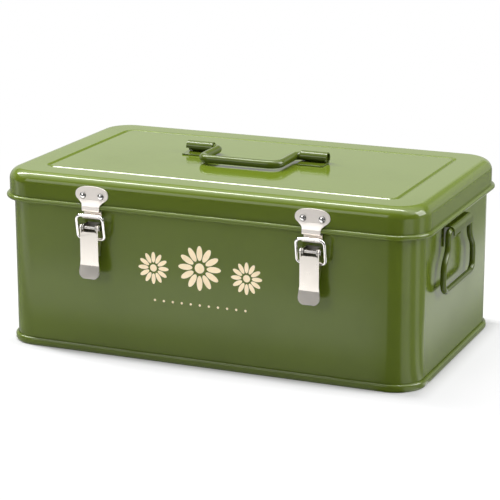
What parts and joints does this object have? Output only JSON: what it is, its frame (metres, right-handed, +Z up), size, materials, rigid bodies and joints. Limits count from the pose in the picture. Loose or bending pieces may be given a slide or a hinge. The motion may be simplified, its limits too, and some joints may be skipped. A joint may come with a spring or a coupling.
{
  "type": "garden seed organizer box",
  "caption": "Painted steel seed organizer box with a hinged lid, toggle latches, a folding carry handle, drop handles on the ends, and index cards either side of a partition.",
  "frame": {"origin": "on the ground under the middle of the box body", "axes": "+X along the front from left to right, +Y from front to back, +Z up"},
  "size_m": [0.3802, 0.2304, 0.159],
  "materials": {
    "green_paint": "glossy olive green enamel on sheet steel",
    "handle_paint": "glossy olive green enamel on steel wire and strap",
    "satin_nickel": "satin nickel plate",
    "polished_nickel": "bright nickel plate",
    "bright_rivet": "bright domed rivets and pins",
    "hinge_steel": "satin nickel plate",
    "card_stock": "matte cream"
  },
  "bodies": {
    "box": {"base_pan": "green_paint", "foot_band": "green_paint", "body_wall": "green_paint", "partition": "green_paint", "card_front_1": "card_stock", "card_front_2": "card_stock", "card_front_3": "card_stock", "card_front_4": "card_stock", "card_back_1": "card_stock", "card_back_2": "card_stock", "card_back_3": "card_stock", "card_back_4": "card_stock", "latch_bracket_left": "satin_nickel", "bracket_rivets_left": "bright_rivet", "lever_pin_left": "bright_rivet", "hinge_body_leaf_left": "hinge_steel", "hinge_pin_left": "bright_rivet", "hinge_body_rivets_left": "bright_rivet", "end_clip_left": "handle_paint", "latch_bracket_right": "satin_nickel", "bracket_rivets_right": "bright_rivet", "lever_pin_right": "bright_rivet", "hinge_body_leaf_right": "hinge_steel", "hinge_pin_right": "bright_rivet", "hinge_body_rivets_right": "bright_rivet", "end_clip_right": "handle_paint"},
    "lid": {"lid_shell": "green_paint", "catch_plate_left": "satin_nickel", "catch_rivets_left": "bright_rivet", "hinge_lid_leaf_left": "hinge_steel", "hinge_lid_rivets_left": "bright_rivet", "handle_clip_left": "handle_paint", "catch_plate_right": "satin_nickel", "catch_rivets_right": "bright_rivet", "hinge_lid_leaf_right": "hinge_steel", "hinge_lid_rivets_right": "bright_rivet", "handle_clip_right": "handle_paint"},
    "carry_handle": {"top_handle": "handle_paint"},
    "drop_handle_left": {"end_handle_left": "handle_paint"},
    "lever_left": {"latch_lever_left": "polished_nickel"},
    "bail_left": {"latch_bail_left": "polished_nickel"},
    "drop_handle_right": {"end_handle_right": "handle_paint"},
    "lever_right": {"latch_lever_right": "polished_nickel"},
    "bail_right": {"latch_bail_right": "polished_nickel"}
  },
  "joints": [
    {"name": "lid_open", "type": "hinge", "parent": "box", "child": "lid", "pos_m": [0, 0.1079, 0.1195], "axis": [-1, 0, 0], "range_deg": [0, 105]},
    {"name": "carry_handle_swing", "type": "hinge", "parent": "lid", "child": "carry_handle", "pos_m": [-0.003, 0.017, 0.154], "axis": [-1, 0, 0], "range_deg": [0, 180]},
    {"name": "drop_handle_swing_left", "type": "hinge", "parent": "box", "child": "drop_handle_left", "pos_m": [-0.1862, -0.015, 0.1175], "axis": [0, 1, 0], "range_deg": [0, 100]},
    {"name": "latch_open_left", "type": "hinge", "parent": "box", "child": "lever_left", "pos_m": [-0.096, -0.113, 0.1093], "axis": [-1, 0, 0], "range_deg": [0, 110]},
    {"name": "bail_turn_left", "type": "hinge", "parent": "lever_left", "child": "bail_left", "pos_m": [-0.096, -0.1114, 0.0999], "axis": [-1, 0, 0], "range_deg": [-132, 0]},
    {"name": "drop_handle_swing_right", "type": "hinge", "parent": "box", "child": "drop_handle_right", "pos_m": [0.1862, -0.015, 0.1175], "axis": [0, -1, 0], "range_deg": [0, 100]},
    {"name": "latch_open_right", "type": "hinge", "parent": "box", "child": "lever_right", "pos_m": [0.096, -0.113, 0.1093], "axis": [-1, 0, 0], "range_deg": [0, 110]},
    {"name": "bail_turn_right", "type": "hinge", "parent": "lever_right", "child": "bail_right", "pos_m": [0.096, -0.1114, 0.0999], "axis": [-1, 0, 0], "range_deg": [-132, 0]}
  ],
  "couplings": [
    {"joint": "bail_turn_left", "follows": "latch_open_left", "ratio": -1.2},
    {"joint": "bail_turn_right", "follows": "latch_open_right", "ratio": -1.2}
  ]
}
